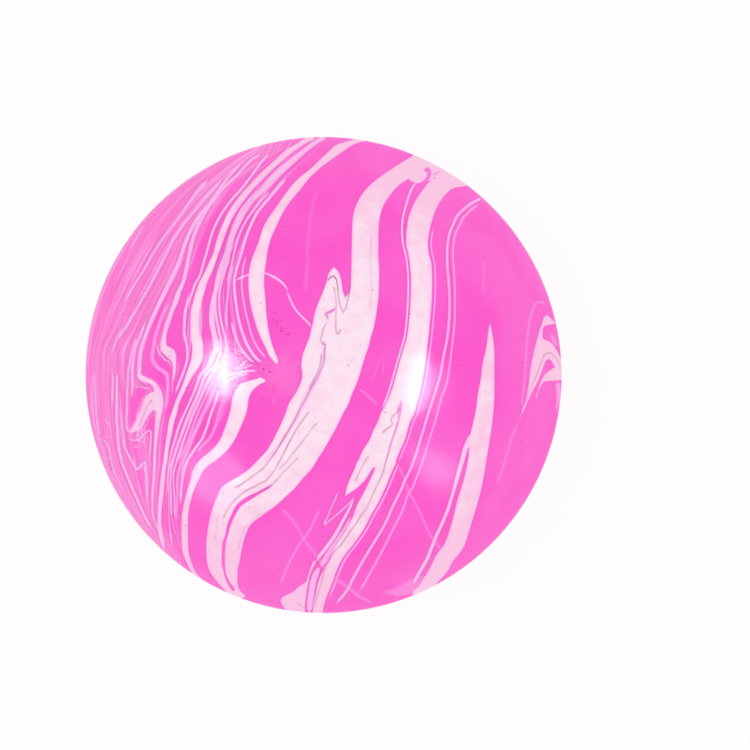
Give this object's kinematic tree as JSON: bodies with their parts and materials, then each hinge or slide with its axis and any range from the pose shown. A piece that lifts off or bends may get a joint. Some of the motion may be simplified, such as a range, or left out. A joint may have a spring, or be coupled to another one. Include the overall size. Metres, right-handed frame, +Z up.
{
  "type": "squishy ball",
  "caption": "Soft marbled ball with a gel filling behind a thin moulded skin, closed by a plugged and sealed fill port; it is squeezed in the hand and springs back.",
  "frame": {"origin": "middle of the flat patch that the ball rests on", "axes": "+Z up through the fill port, which is on top; X and Y lie along the floor"},
  "size_m": [0.0508, 0.0508, 0.0501],
  "materials": {
    "marbled_skin": "semi-gloss soft TPR, pink with pale marbled streaks",
    "gel": "clear soft gel, tinted pale pink",
    "plug_rubber": "matte moulded TPR",
    "glue": "clear yellowish set glue",
    "plain_skin": "semi-gloss plain pink TPR"
  },
  "bodies": {
    "ball": {"skin": "marbled_skin", "gel_filling": "gel"},
    "fill_port": {"fill_plug": "plug_rubber", "glue_ring": "glue", "seal_button": "plain_skin"}
  },
  "joints": [
    {"name": "squeeze", "type": "slide", "parent": "ball", "child": "fill_port", "axis": [0, 0, -1], "range_m": [0, 0.02], "stiffness_N_per_m": 600, "deforming": ["skin", "gel_filling"]}
  ]
}
